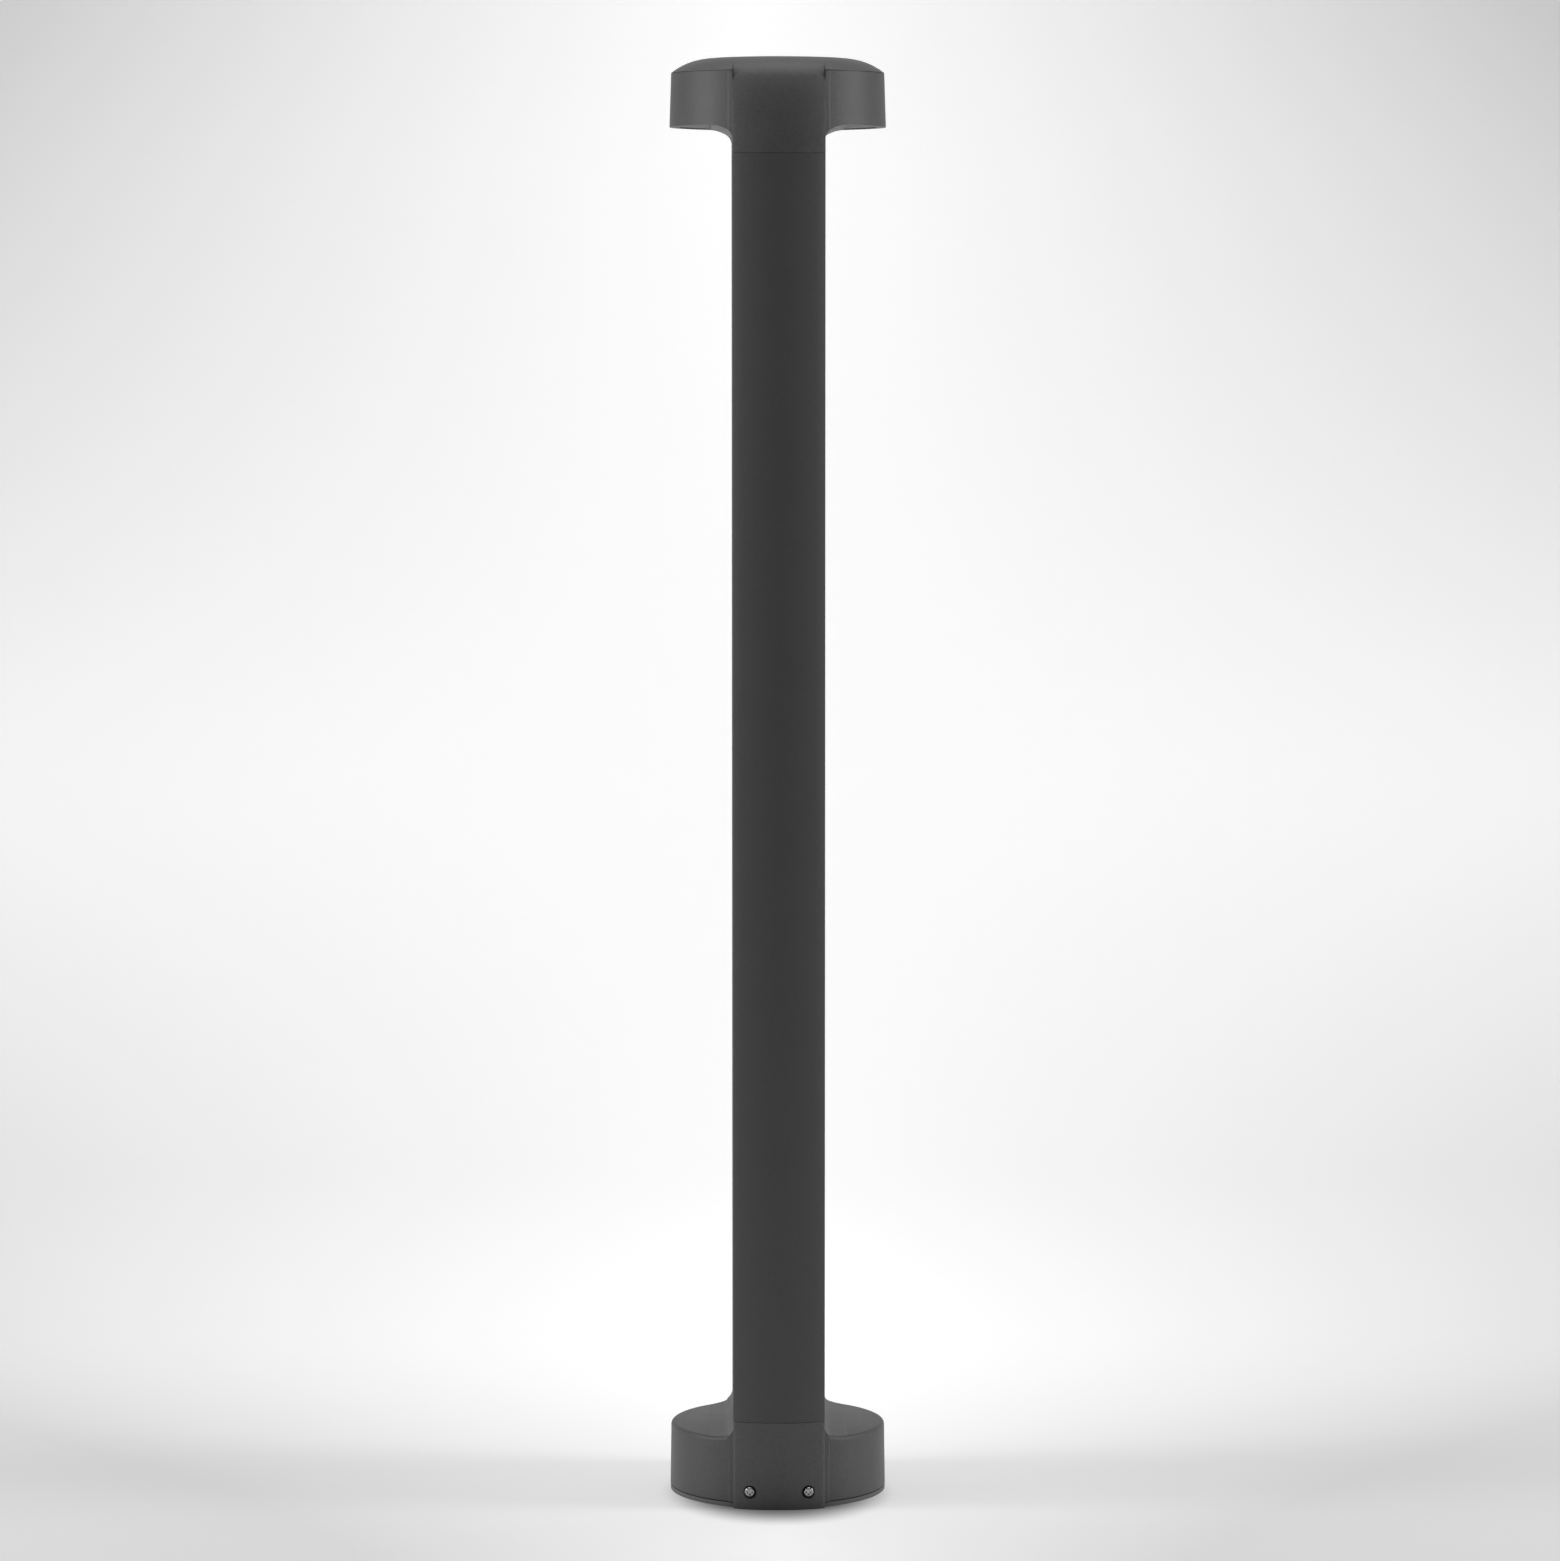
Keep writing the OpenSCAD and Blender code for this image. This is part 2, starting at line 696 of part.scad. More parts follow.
// Head casting: post stub and band, two wings with a light chamber each, and the dome
module head_housing() {
    color([0.25, 0.25, 0.26]) difference() {
        union() {
            intersection() {
                rotate_extrude() band_section();
                translate([-half_w, -bow_r - 1, post_top_z])
                    cube([post_w, post_d + 2, total_h]);
            }
            head_wings();
        }
        head_cavity();
        both_sides() {
            half_moon_block(lens_r + lens_gap, lens_x - lens_gap, under_z - 1, ledge_z - under_z + 1);
            translate([0, 0, ledge_z - e]) linear_extrude(ceiling_z - ledge_z + e) chamber_plan(0);
        }
        four_corners() translate([0, 0, post_top_z - 1]) cylinder(d = rod_d + 2 * fit_gap, h = 21);
        for (s = [-1, 1]) {
            at_board_screws(s) screw_hole(3, board_t + 5);
            translate([s * lead_drop_x, lead_y, ceiling_z - 1]) cylinder(r = grommet_r, h = ceiling_t + 2);
        }
        at_lens_screws() screw_hole(lens_screw_d, lens_screw_l + 2);
    }
}

// Plan of the chamber on the right, less the bosses for the lens screws in its corners
module chamber_plan(inset, boss_wall = 0) {
    difference() {
        half_moon(chamber_r - inset, chamber_x + inset);
        for (s = [-1, 1]) translate([lens_screw_x, s * lens_screw_y]) circle(boss_r + boss_wall);
    }
}

// Hollow of the head above the post, less its rod and screw bosses
module head_cavity() {
    difference() {
        union() {
            translate([0, 0, post_top_z - 1]) linear_extrude(bend_z - 3 - post_top_z)
                post_plan(cast_wall);
            intersection() {
                rotate_extrude() cap_section(cast_wall + 0.5, post_top_z - 2);
                union() {
                    translate([0, 0, post_top_z - 1]) linear_extrude(total_h) post_plan(cast_wall + 0.2);
                    translate([-lens_x + cast_wall + 0.5, -bow_r, under_z + 5])
                        cube([2 * (lens_x - cast_wall) - 1, post_d, total_h]);
                    translate([0, 0, ceiling_z + ceiling_t]) cylinder(r = bow_r, h = total_h);
                }
            }
        }
        four_corners() translate([0, 0, post_top_z - 2]) {
            cylinder(r = rod_d / 2 + 3.6, h = 27);
            translate([0, -4, 0]) cube([half_w - 1 - rod_x, 8, 27]);
        }
        for (s = [-1, 1]) at_board_screws(s) cylinder(d = 8, h = board_t + ceiling_t + 3);
    }
}

module led_board(side) {
    color("whitesmoke") difference() {
        mirror([side < 0 ? 1 : 0, 0, 0]) translate([0, 0, board_z])
            linear_extrude(board_t) chamber_plan(chamber_r - board_r, 0.5);
        at_board_screws(side) screw_hole(3, board_t + 1);
        translate([side * lead_drop_x, lead_y, board_z - 1])
            cylinder(d = lead_d + 2 * fit_gap, h = board_t + 2);
    }
}
module led_board_left() { led_board(-1); }
module led_board_right() { led_board(1); }

// Row of light chips under a board
module led_chips(side) {
    pitch = 52 / (chips - 1);
    color("khaki") for (i = [0:chips - 1])
        translate([side * (chamber_x + 6), (i - (chips - 1) / 2) * pitch, board_z - 0.4])
            cube([3, 3, 0.8], center = true);
}
module led_chips_left() { led_chips(-1); }
module led_chips_right() { led_chips(1); }

module board_screws() {
    color("silver") for (s = [-1, 1]) at_board_screws(s) pan_screw(3, board_t + 4, 5.5, 2);
}

// White liner that follows the chamber's wall and the bosses
module reflector(side) {
    liner_t = 1.2;
    color("white") mirror([side < 0 ? 1 : 0, 0, 0]) translate([0, 0, ledge_z])
        linear_extrude(board_z - ledge_z - 3) difference() {
            chamber_plan(0.2, 0.2);
            chamber_plan(0.2 + liner_t, 0.2 + liner_t);
        }
}
module reflector_left() { reflector(-1); }
module reflector_right() { reflector(1); }

// Silicone ring between the lens and the ledge
module lens_gasket(side) {
    color("black") difference() {
        mirror([side < 0 ? 1 : 0, 0, 0]) translate([0, 0, lens_z + lens_t])
            linear_extrude(lens_gasket_t) difference() {
                half_moon(lens_r, lens_x);
                chamber_plan(0);
            }
        at_lens_screws() screw_hole(lens_screw_d, lens_screw_l + 2);
    }
}
module lens_gasket_left() { lens_gasket(-1); }
module lens_gasket_right() { lens_gasket(1); }

// Frosted lens, nearly flush with the wing's underside
module lens(side) {
    color("white") difference() {
        mirror([side < 0 ? 1 : 0, 0, 0]) half_moon_block(lens_r, lens_x, lens_z, lens_t);
        at_lens_screws() {
            screw_hole(lens_screw_d, lens_screw_l + 2);
            translate([0, 0, -e]) cylinder(d1 = 6.2, d2 = lens_screw_d, h = 1.6);
        }
    }
}
module lens_left() { lens(-1); }
module lens_right() { lens(1); }

// Countersunk screws that hold the lenses
module lens_screws() {
    color("silver") at_lens_screws() difference() {
        union() {
            translate([0, 0, 0.1]) cylinder(d1 = 5.6, d2 = lens_screw_d - 0.1, h = 1.4);
            translate([0, 0, 1]) cylinder(d = lens_screw_d, h = lens_screw_l - 1);
        }
        for (a = [0, 90]) rotate(a) translate([-1.5, -0.3, 0]) cube([3, 0.6, 0.9]);
    }
}

// Rubber sleeves where the leads pass through the chamber's ceiling
module lead_grommets() {
    color("black") for (s = [-1, 1]) translate([s * lead_drop_x, lead_y, ceiling_z]) difference() {
        union() {
            translate([0, 0, 0.2]) cylinder(r = grommet_r - 0.05, h = ceiling_t);
            translate([0, 0, ceiling_t + 0.05]) cylinder(r = grommet_r + 1, h = 1);
        }
        translate([0, 0, -1]) cylinder(d = lead_d + 0.2, h = ceiling_t + 4);
    }
}

// Lead from the power unit up the post, over the ceiling and down to the board
module led_lead(side) {
    run = lead_drop_x - lead_x - 2 * lead_bend;
    foot_z = driver_z + driver_l - 4.8;
    color("white") mirror([side < 0 ? 1 : 0, 0, 0]) {
        translate([lead_x, lead_y, foot_z]) cylinder(d = lead_d, h = lead_top_z - lead_bend - foot_z + e);
        translate([lead_x + lead_bend, lead_y, lead_top_z - lead_bend]) rotate([90, 0, 0])
            rotate_extrude(angle = 90, start = 90) translate([lead_bend, 0]) circle(d = lead_d);
        translate([lead_x + lead_bend - e, lead_y, lead_top_z]) rotate([0, 90, 0])
            cylinder(d = lead_d, h = run + 2 * e);
        translate([lead_drop_x - lead_bend, lead_y, lead_top_z - lead_bend]) rotate([90, 0, 0])
            rotate_extrude(angle = 90, start = 0) translate([lead_bend, 0]) circle(d = lead_d);
        translate([lead_drop_x, lead_y, board_z])
            cylinder(d = lead_d, h = lead_top_z - lead_bend - board_z + e);
    }
}
module led_lead_left() { led_lead(-1); }
module led_lead_right() { led_lead(1); }

base_plate();
screw_brackets();
earth_boss();
base_gasket();
base_housing();
ground_screws();
earth_screw();
earth_washer();
cable_gland();
gland_seal();
gland_cap();
gland_locknut();
lower_gasket();
post_extrusion();
upper_gasket();
tie_rods();
tie_rod_washers();
tie_rod_nuts();
driver_tray();
led_driver();
driver_screws();
terminal_block();
terminal_screws();
block_screws();
driver_links();
head_housing();
led_board_left();
led_board_right();
led_chips_left();
led_chips_right();
board_screws();
reflector_left();
reflector_right();
lens_gasket_left();
lens_gasket_right();
lens_left();
lens_right();
lens_screws();
lead_grommets();
led_lead_left();
led_lead_right();
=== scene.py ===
"""Path light: finishes for every piece, eased copies of the coated pieces and the screws, and the studio."""

import json
from math import copysign, hypot, radians

import bmesh
import bpy
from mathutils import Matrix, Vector


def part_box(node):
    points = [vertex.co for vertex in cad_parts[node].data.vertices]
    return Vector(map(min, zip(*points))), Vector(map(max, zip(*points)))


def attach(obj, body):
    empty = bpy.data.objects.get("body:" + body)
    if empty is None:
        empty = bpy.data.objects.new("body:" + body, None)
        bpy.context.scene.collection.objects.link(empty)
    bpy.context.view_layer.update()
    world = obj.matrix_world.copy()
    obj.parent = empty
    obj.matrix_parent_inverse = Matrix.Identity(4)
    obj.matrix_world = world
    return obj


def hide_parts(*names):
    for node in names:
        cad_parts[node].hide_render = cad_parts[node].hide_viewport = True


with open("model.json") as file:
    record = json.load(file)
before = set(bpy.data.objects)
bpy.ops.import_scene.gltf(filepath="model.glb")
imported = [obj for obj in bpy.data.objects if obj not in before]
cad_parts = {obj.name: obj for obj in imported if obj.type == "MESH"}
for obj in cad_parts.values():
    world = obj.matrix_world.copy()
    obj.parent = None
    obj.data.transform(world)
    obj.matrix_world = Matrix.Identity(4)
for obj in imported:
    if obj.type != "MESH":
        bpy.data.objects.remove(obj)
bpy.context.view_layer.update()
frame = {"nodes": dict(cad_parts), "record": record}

MM = 0.001

# Where the edges to be eased lie on the CAD solids
HALF_WIDTH = 31.6 * MM
RIB = 3.4 * MM
EDGE_ROOM = 0.05 * MM
POST_CORNER_DEPTH = 70 * MM
POST_CORNER_LENGTH = 100 * MM
BAND_DEPTH = 71.7 * MM
RIB_RADIUS = 74.2 * MM
BAND_EDGE_LENGTH = 1 * MM
BASE_BAND_HEIGHTS = (-1 * MM, 61 * MM)
HEAD_BAND_HEIGHTS = (930 * MM, 990 * MM)
BASE_WING_TOP = 47.6 * MM
BASE_RIM_RADII = (74.0 * MM, 75.4 * MM)
BASE_RIM_ASIDE = 35 * MM

# How far they are eased, in how many segments
POST_ROUND, POST_SEGMENTS = 0.5 * MM, 2
BAND_ROUND, RIB_ROUND, BAND_SEGMENTS = 1.3 * MM, 1.1 * MM, 4
BASE_RIM_ROUND, BASE_RIM_SEGMENTS = 2.5 * MM, 5
SCREW_RIM_ROUND, SCREW_RIM_SEGMENTS = 0.6 * MM, 4

# Ground screw's head, and the cross recess before and after it is widened
SCREW_R = 3.6 * MM
SCREW_HEAD = 2.3 * MM
RECESS_NARROW = 0.432 * MM
RECESS_WIDE = 0.8 * MM
RECESS_REACH = 0.7 * SCREW_R
RECESS_ROOM = 0.02 * MM
SCREW_RIM_REACH = 0.75 * SCREW_R
SCREW_RIM_ROOM = 0.01 * MM

# Merged copies: how near points are joined, and the degrees that count as flat, as sharp and as a hard edge
WELD = 2e-6
DEGENERATE = 1e-6
FLAT_ANGLE = 0.4
SHARP_ANGLE = 35
HARD_ANGLE = 32


# Shader groups


def new_group(name, inputs, outputs):
    """A shader group with float, colour or vector sockets, and its two ends."""
    group = bpy.data.node_groups.new(name, "ShaderNodeTree")
    kinds = {"value": "NodeSocketFloat", "colour": "NodeSocketColor", "vector": "NodeSocketVector"}
    for label, kind, default in inputs:
        socket = group.interface.new_socket(name=label, in_out="INPUT", socket_type=kinds[kind])
        if default is not None:
            socket.default_value = default
    for label, kind in outputs:
        group.interface.new_socket(name=label, in_out="OUTPUT", socket_type=kinds[kind])
    return group, group.nodes.new("NodeGroupInput"), group.nodes.new("NodeGroupOutput")


def fill(tree, socket, value):
    """A link into a socket, or a plain value on it."""
    if isinstance(value, bpy.types.NodeSocket):
        tree.links.new(value, socket)
    else:
        socket.default_value = value


def add(tree, kind, settings=None, **values):
    """A node of one kind with settings on it and its inputs filled, by name or as i0, i1 and so on."""
    node = tree.nodes.new(kind)
    for key, value in (settings or {}).items():
        setattr(node, key, value)
    for key, value in values.items():
        numbered = key[0] == "i" and key[1:].isdigit()
        fill(tree, node.inputs[int(key[1:]) if numbered else key.replace("_", " ")], value)
    return node


def maths(tree, operation, a, b=0.0, c=0.0, clamp=False):
    node = add(tree, "ShaderNodeMath", {"operation": operation, "use_clamp": clamp}, i0=a, i1=b, i2=c)
    return node.outputs[0]


def mixed(tree, factor, a, b, blend="MIX"):
    node = add(tree, "ShaderNodeMix", {"data_type": "RGBA", "blend_type": blend}, i0=factor, i6=a, i7=b)
    return node.outputs[2]


def ramped(tree, value, low, high, out_low=0.0, out_high=1.0):
    """A smooth step of a value, from one range to another."""
    node = add(
        tree, "ShaderNodeMapRange", {"interpolation_type": "SMOOTHSTEP"},
        Value=value, From_Min=low, From_Max=high, To_Min=out_low, To_Max=out_high,
    )
    return node.outputs[0]


def centred(tree, value):
    """A noise that runs from 0 to 1, moved to run about 0."""
    return maths(tree, "SUBTRACT", value, 0.5)


def make_mottle():
    """Cloudy and fine variation of one colour, with the matching roughness."""
    group, start, end = new_group(
        "mottle",
        [
            ("Vector", "vector", None),
            ("Colour", "colour", (0.5, 0.5, 0.5, 1)),
            ("Cloud Scale", "value", 20.0),
            ("Cloud", "value", 0.1),
            ("Speck Scale", "value", 900.0),
            ("Speck", "value", 0.1),
            ("Roughness", "value", 0.5),
        ],
        [("Colour", "colour"), ("Roughness", "value"), ("Speck", "value")],
    )
    s = start.outputs
    cloud = add(group, "ShaderNodeTexNoise", Vector=s["Vector"], Scale=s["Cloud Scale"], Detail=3.0)
    speck = add(
        group, "ShaderNodeTexNoise", Vector=s["Vector"], Scale=s["Speck Scale"], Detail=2.0, Roughness=0.6
    )
    cloud_part = maths(group, "MULTIPLY", centred(group, cloud.outputs[0]), s["Cloud"])
    speck_part = maths(group, "MULTIPLY", centred(group, speck.outputs[0]), s["Speck"])
    gain = maths(group, "ADD", maths(group, "ADD", cloud_part, speck_part), 1.0)
    tint = add(group, "ShaderNodeVectorMath", {"operation": "SCALE"}, i0=s["Colour"], Scale=gain)
    rough = maths(group, "ADD", s["Roughness"], maths(group, "MULTIPLY", cloud_part, 0.6), clamp=True)
    group.links.new(tint.outputs[0], end.inputs["Colour"])
    group.links.new(rough, end.inputs["Roughness"])
    group.links.new(speck.outputs[0], end.inputs["Speck"])
    return group


def make_coat_grain():
    """Height of a fine textured powder coat: close-packed beads broken by noise."""
    group, start, end = new_group(
        "coat_grain",
        [("Vector", "vector", None), ("Grain", "value", 1400.0), ("Peel", "value", 260.0)],
        [("Height", "value"), ("Pits", "value")],
    )
    s = start.outputs
    beads = add(
        group, "ShaderNodeTexVoronoi", {"feature": "SMOOTH_F1"},
        Vector=s["Vector"], Scale=s["Grain"], Smoothness=0.6,
    )
    noise = add(group, "ShaderNodeTexNoise", Vector=s["Vector"], Scale=s["Grain"], Detail=2.0)
    peel = add(group, "ShaderNodeTexNoise", Vector=s["Vector"], Scale=s["Peel"], Detail=1.0)
    fine = maths(group, "ADD", maths(group, "MULTIPLY", beads.outputs[0], -0.6), noise.outputs[0])
    height = maths(group, "ADD", fine, maths(group, "MULTIPLY", peel.outputs[0], 0.8))
    group.links.new(height, end.inputs["Height"])
    group.links.new(ramped(group, beads.outputs[0], 0.55, 0.9), end.inputs["Pits"])
    return group


def make_edge_rub():
    """Mask of the outer edges, broken by noise, where a coat is thin or a metal is polished."""
    group, start, end = new_group(
        "edge_rub",
        [("Vector", "vector", None), ("Width", "value", 0.0006), ("Break", "value", 90.0)],
        [("Mask", "value")],
    )
    s = start.outputs
    plain = add(group, "ShaderNodeNewGeometry").outputs["Normal"]
    soft = add(group, "ShaderNodeBevel", {"samples": 4}, Radius=s["Width"]).outputs[0]
    turn = add(group, "ShaderNodeVectorMath", {"operation": "DOT_PRODUCT"}, i0=soft, i1=plain)
    edge = ramped(group, maths(group, "SUBTRACT", 1.0, turn.outputs["Value"]), 0.01, 0.12)
    patchy = add(group, "ShaderNodeTexNoise", Vector=s["Vector"], Scale=s["Break"], Detail=3.0)
    mask = maths(group, "MULTIPLY", edge, ramped(group, patchy.outputs[0], 0.35, 0.65, 0.25, 1.0))
    group.links.new(mask, end.inputs["Mask"])
    return group


def make_painted_shade():
    """Mask of painted shade in narrow hollows, such as a groove, a pocket or a screw's recess, where little
    light reaches.
    """
    group, start, end = new_group("painted_shade", [("Reach", "value", 0.002)], [("Mask", "value")])
    # Ambient occlusion decides where the painted shade falls
    open_sky = add(group, "ShaderNodeAmbientOcclusion", {"samples": 4}, Distance=start.outputs["Reach"])
    group.links.new(ramped(group, open_sky.outputs["AO"], 0.3, 0.75, 1.0, 0.0), end.inputs["Mask"])
    return group


def make_brushing():
    """Fine streaks drawn out along one axis, for drawn, brushed and turned metal."""
    group, start, end = new_group(
        "brushing",
        [("Vector", "vector", None), ("Stretch", "vector", (1.0, 1.0, 0.05)), ("Scale", "value", 900.0)],
        [("Streak", "value")],
    )
    s = start.outputs
    drawn = add(group, "ShaderNodeVectorMath", {"operation": "MULTIPLY"}, i0=s["Vector"], i1=s["Stretch"])
    streak = add(group, "ShaderNodeTexNoise", Vector=drawn.outputs[0], Scale=s["Scale"], Detail=3.0)
    group.links.new(streak.outputs[0], end.inputs["Streak"])
    return group


MOTTLE = make_mottle()
COAT_GRAIN = make_coat_grain()
EDGE_RUB = make_edge_rub()
BRUSHING = make_brushing()
# Painted shade for narrow hollows
PAINTED_SHADE = make_painted_shade()


# Materials

COAT_PIT_SHARE, COAT_PIT_SHADE = 0.25, 0.55
# Middle value on the next line: how dark painted shade makes the coat's colour in narrow hollows
COAT_RUB_SHARE, COAT_PAINTED_SHADE, COAT_RELIEF = 0.5, 0.2, 0.00012
METAL_RUB_SHARE, METAL_RUB_GAIN, METAL_RUB_WIDTH = 0.6, 1.35, 0.0003
# First two values: how far painted shade reaches into the metal's hollows, and how dark it makes them
METAL_SHADE_REACH, METAL_PAINTED_SHADE, METAL_RELIEF = 0.0016, 0.06, 0.00004
METAL_STREAK, METAL_STREAK_SCALE = 0.25, 900.0
MOULD_RUB_SHARE, MOULD_RUB_GAIN, MOULD_RUB_LIFT = 0.3, 1.2, 0.02
MOULD_RUB_WIDTH, MOULD_RELIEF = 0.0003, 0.00008


def grouped(tree, group, **values):
    """The outputs of a shader group whose inputs are filled by name."""
    node = tree.nodes.new("ShaderNodeGroup")
    node.node_tree = group
    for key, value in values.items():
        fill(tree, node.inputs[key.replace("_", " ")], value)
    return node.outputs


def new_material(name):
    """An empty material with its surface shader and its object coordinates."""
    material = bpy.data.materials.new(name)
    material.use_nodes = True
    tree = material.node_tree
    shader = tree.nodes["Principled BSDF"]
    place = tree.nodes.new("ShaderNodeTexCoord").outputs["Object"]
    return material, tree, shader, place


def coloured(rgb):
    return (*rgb, 1.0)


def shaded(rgb, gain, lift=0.0):
    """A colour made darker or paler, no paler than white."""
    return coloured([min(1, c * gain + lift) for c in rgb])


def relieved(tree, shader, height, strength, depth):
    """A fine relief on a surface."""
    relief = add(tree, "ShaderNodeBump", Height=height, Strength=strength, Distance=depth)
    tree.links.new(relief.outputs[0], shader.inputs["Normal"])


def powder_coat(name, rgb, edge_rgb, roughness, bump, speck, cloud, specular, shade_reach=0.002):
    """Fine textured powder coat with thin edges, and painted shade in hollows narrower than the reach."""
    material, tree, shader, place = new_material(name)
    base = grouped(
        tree, MOTTLE, Vector=place, Colour=coloured(rgb), Cloud_Scale=45.0, Cloud=cloud,
        Speck_Scale=620.0, Speck=speck, Roughness=roughness,
    )
    coat = grouped(tree, COAT_GRAIN, Vector=place, Grain=1400.0, Peel=260.0)
    rub = grouped(tree, EDGE_RUB, Vector=place)
    painted_shade = grouped(tree, PAINTED_SHADE, Reach=shade_reach)
    pits = maths(tree, "MULTIPLY", coat["Pits"], COAT_PIT_SHARE)
    colour = mixed(tree, pits, base["Colour"], shaded(rgb, COAT_PIT_SHADE))
    colour = mixed(tree, maths(tree, "MULTIPLY", rub["Mask"], COAT_RUB_SHARE), colour, coloured(edge_rgb))
    # Painted shade: the colour darkens in hollows narrower than the reach
    colour = mixed(tree, painted_shade["Mask"], colour, shaded(rgb, COAT_PAINTED_SHADE))
    tree.links.new(colour, shader.inputs["Base Color"])
    tree.links.new(base["Roughness"], shader.inputs["Roughness"])
    shader.inputs["Specular IOR Level"].default_value = specular
    relieved(tree, shader, coat["Height"], bump, COAT_RELIEF)
    return material


def worked_metal(name, rgb, roughness, stretch):
    """Bare or plated metal with drawn streaks, mottle, polished edges and painted shade in its hollows."""
    material, tree, shader, place = new_material(name)
    base = grouped(
        tree, MOTTLE, Vector=place, Colour=coloured(rgb), Cloud_Scale=60.0, Cloud=0.25,
        Speck_Scale=1500.0, Speck=0.1, Roughness=roughness,
    )
    lines = grouped(tree, BRUSHING, Vector=place, Stretch=stretch, Scale=METAL_STREAK_SCALE)
    rub = grouped(tree, EDGE_RUB, Vector=place, Width=METAL_RUB_WIDTH)
    painted_shade = grouped(tree, PAINTED_SHADE, Reach=METAL_SHADE_REACH)
    polish = maths(tree, "MULTIPLY", rub["Mask"], METAL_RUB_SHARE)
    colour = mixed(tree, polish, base["Colour"], shaded(rgb, METAL_RUB_GAIN))
    # Painted shade in the metal's hollows, such as a screw's cross recess
    colour = mixed(tree, painted_shade["Mask"], colour, shaded(rgb, METAL_PAINTED_SHADE))
    tree.links.new(colour, shader.inputs["Base Color"])
    streak = maths(tree, "MULTIPLY", centred(tree, lines["Streak"]), METAL_STREAK)
    tree.links.new(maths(tree, "ADD", base["Roughness"], streak), shader.inputs["Roughness"])
    shader.inputs["Metallic"].default_value = 1.0
    relieved(tree, shader, lines["Streak"], 0.25, METAL_RELIEF)
    return material


def moulded(name, rgb, roughness, grain=1800.0, bump=0.12, specular=0.5):
    """Moulded plastic or rubber with a fine mould grain, mottle and slightly worn edges."""
    material, tree, shader, place = new_material(name)
    base = grouped(
        tree, MOTTLE, Vector=place, Colour=coloured(rgb), Cloud_Scale=45.0, Cloud=0.12,
        Speck_Scale=1200.0, Speck=0.06, Roughness=roughness,
    )
    coat = grouped(tree, COAT_GRAIN, Vector=place, Grain=grain, Peel=400.0)
    rub = grouped(tree, EDGE_RUB, Vector=place, Width=MOULD_RUB_WIDTH)
    worn = maths(tree, "MULTIPLY", rub["Mask"], MOULD_RUB_SHARE)
    colour = mixed(tree, worn, base["Colour"], shaded(rgb, MOULD_RUB_GAIN, MOULD_RUB_LIFT))
    tree.links.new(colour, shader.inputs["Base Color"])
    tree.links.new(base["Roughness"], shader.inputs["Roughness"])
    shader.inputs["Specular IOR Level"].default_value = specular
    relieved(tree, shader, coat["Height"], bump, MOULD_RELIEF)
    return material


CASTING = powder_coat(
    "casting_coat", (0.074, 0.074, 0.076), (0.16, 0.16, 0.165),
    roughness=0.52, bump=0.55, speck=0.5, cloud=0.24, specular=0.45,
)
EXTRUSION = powder_coat(
    "extrusion_coat", (0.064, 0.064, 0.066), (0.12, 0.12, 0.125),
    roughness=0.62, bump=0.3, speck=0.18, cloud=0.1, specular=0.4,
)
# The plate's painted shade reaches only a fifth of a millimetre, so it shows only in the finest gaps
PLATE = powder_coat(
    "plate_coat", (0.13, 0.13, 0.132), (0.2, 0.2, 0.2),
    roughness=0.6, bump=0.4, speck=0.3, cloud=0.14, specular=0.4, shade_reach=0.0002,
)
MATERIALS = {
    "plate_steel": PLATE,
    "gasket_foam": moulded(
        "closed_cell_foam", (0.012, 0.012, 0.012), 0.9, grain=700.0, bump=0.6, specular=0.2
    ),
    "seal_rubber": moulded("seal_rubber", (0.015, 0.015, 0.015), 0.75),
    "screw_steel": worked_metal("stainless_screw", (0.36, 0.36, 0.36), 0.2, stretch=(1, 1, 0.1)),
    "earth_brass": worked_metal("earth_brass", (0.6, 0.42, 0.16), 0.32, stretch=(1, 1, 0.1)),
    "gland_plastic": moulded("gland_nylon", (0.02, 0.02, 0.022), 0.55),
    "tray_aluminium": worked_metal("mill_sheet", (0.62, 0.63, 0.64), 0.38, stretch=(1, 1, 0.04)),
    "driver_case": moulded("driver_case", (0.6, 0.6, 0.59), 0.5),
    "block_plastic": moulded("terminal_nylon", (0.62, 0.6, 0.5), 0.45),
    "wire_sheath": moulded("wire_sheath", (0.1, 0.035, 0.015), 0.35, grain=2600.0, bump=0.04),
    "lead_sheath": moulded("lead_sheath", (0.55, 0.55, 0.54), 0.45, grain=2600.0, bump=0.04),
    "board_white": moulded("board_mask", (0.74, 0.75, 0.74), 0.35, grain=2600.0, bump=0.03),
    "chip_yellow": moulded("chip_phosphor", (0.75, 0.55, 0.1), 0.5),
    "reflector_white": moulded("reflector_white", (0.78, 0.78, 0.77), 0.55, grain=1200.0, bump=0.08),
    "lens_frosted": moulded("opal_lens", (0.2, 0.206, 0.203), 0.6, grain=2200.0, bump=0.06, specular=0.1),
    "cast_coat": CASTING,
    "post_coat": EXTRUSION,
}


def finish_nodes():
    """Each carried-over solid gets the finish of its slot."""
    slots = {part["node"]: part["material_slot"] for part in frame["record"]["subparts"]}
    for name, node in frame["nodes"].items():
        for place in node.material_slots:
            place.material = MATERIALS[slots[name]]


# Eased copies


